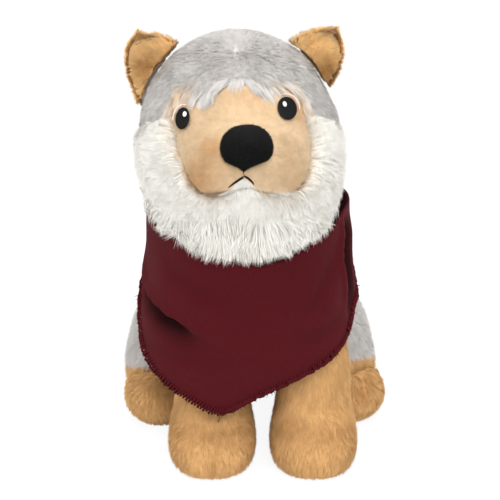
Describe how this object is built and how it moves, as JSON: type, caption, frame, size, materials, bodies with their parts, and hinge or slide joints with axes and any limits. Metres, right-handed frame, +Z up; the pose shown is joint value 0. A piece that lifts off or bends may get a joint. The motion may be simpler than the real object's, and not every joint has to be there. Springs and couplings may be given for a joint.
{
  "type": "sitting plush dog with a neck bandana",
  "caption": "Sitting long-pile plush canine with a stuffed head, torso and limbs, embroidered eyes, a curled tail and a plain triangular bandana tied behind the neck.",
  "frame": {"origin": "on the floor, below the middle of the toy's bounds in plan", "axes": "+Z up, the toy faces -Y, and +X is to the right of someone who looks at its face"},
  "size_m": [0.136, 0.1974, 0.205],
  "materials": {
    "grey_plush": "long-pile plush, light warm grey",
    "white_plush": "long-pile plush, cream white",
    "tan_plush": "short-pile plush, golden tan",
    "face_plush": "short-pile plush, pale tan",
    "black_plush": "short-pile plush, black",
    "black_thread": "satin-stitch embroidery thread",
    "white_thread": "embroidery thread",
    "polyester_filling": "loose fibre filling",
    "maroon_cloth": "thin woven cloth, matt",
    "maroon_thread": "overlock thread"
  },
  "bodies": {
    "root": {"back_panel": "grey_plush", "bandana": "maroon_cloth", "bandana_overlock": "maroon_thread", "cheek_ruff": "white_plush", "chest_panel": "white_plush", "crown_panel": "grey_plush", "face_panel": "face_plush", "head_stuffing": "polyester_filling", "left_ear_back": "grey_plush", "left_ear_lining": "face_plush", "left_eye": "black_thread", "left_eye_highlight": "white_thread", "left_eye_rim": "white_thread", "left_foreleg": "tan_plush", "left_haunch": "grey_plush", "left_hind_paw": "tan_plush", "left_mouth_stitch": "black_thread", "nose_pad": "black_plush", "philtrum_stitch": "black_thread", "right_ear_back": "grey_plush", "right_ear_lining": "face_plush", "right_eye": "black_thread", "right_eye_highlight": "white_thread", "right_eye_rim": "white_thread", "right_foreleg": "tan_plush", "right_haunch": "grey_plush", "right_hind_paw": "tan_plush", "right_mouth_stitch": "black_thread", "tail": "grey_plush", "torso_stuffing": "polyester_filling"}
  },
  "joints": []
}
